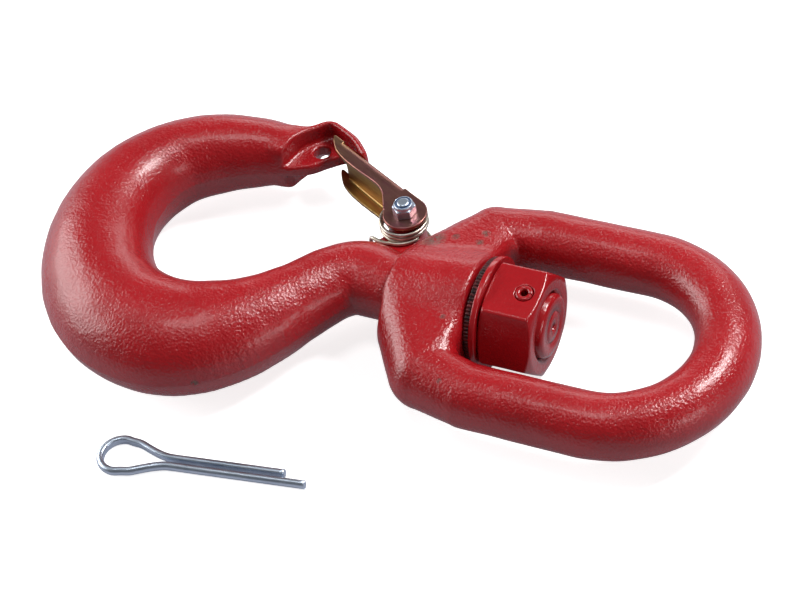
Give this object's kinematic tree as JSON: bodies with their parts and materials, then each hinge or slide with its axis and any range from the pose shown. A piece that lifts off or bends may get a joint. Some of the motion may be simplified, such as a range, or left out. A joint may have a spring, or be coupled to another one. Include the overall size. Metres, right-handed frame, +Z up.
{
  "type": "swivel lifting hook",
  "caption": "Forged swivel lifting hook in red enamel, with a sprung safety latch, an oval eye bow and a loose split cotter pin.",
  "frame": {"origin": "centre of the bow's round eye, on the swivel axis", "axes": "+X along the swivel axis away from the hook; +Y towards the side of the hook's point; +Z up, square to the flat of the hook, which lies on its side"},
  "size_m": [0.3539, 0.2089, 0.053],
  "materials": {
    "red_enamel": "gloss",
    "dark_steel": "satin",
    "yellow_zinc": "satin",
    "bright_zinc": "satin",
    "blue_nylon": "matte"
  },
  "bodies": {
    "bow": {"swivel_bow": "red_enamel"},
    "hook": {"hook_body": "red_enamel", "bearing_washer": "dark_steel", "thrust_washer": "red_enamel", "swivel_nut": "red_enamel", "nut_roll_pin": "red_enamel", "latch_spring": "yellow_zinc"},
    "latch_set": {"latch": "yellow_zinc", "latch_bolt": "bright_zinc", "latch_nut": "bright_zinc", "latch_nut_insert": "blue_nylon"},
    "loose_pin": {"cotter_pin": "bright_zinc"}
  },
  "joints": [
    {"name": "swivel", "type": "hinge", "parent": "bow", "child": "hook", "pos_m": [0, 0, 0], "axis": [1, 0, 0], "continuous": true},
    {"name": "latch_hinge", "type": "hinge", "parent": "hook", "child": "latch_set", "pos_m": [-0.1173, 0.036, 0], "axis": [0, 0, 1], "range_deg": [0, 65], "stiffness_Nm_per_rad": 0.2, "springref_deg": -40.11, "deforming": ["latch_spring"]},
    {"name": "cotter_pin_lift", "type": "slide", "parent": "bow", "child": "loose_pin", "axis": [0, 0, 1], "range_m": [0, 0.1]}
  ]
}
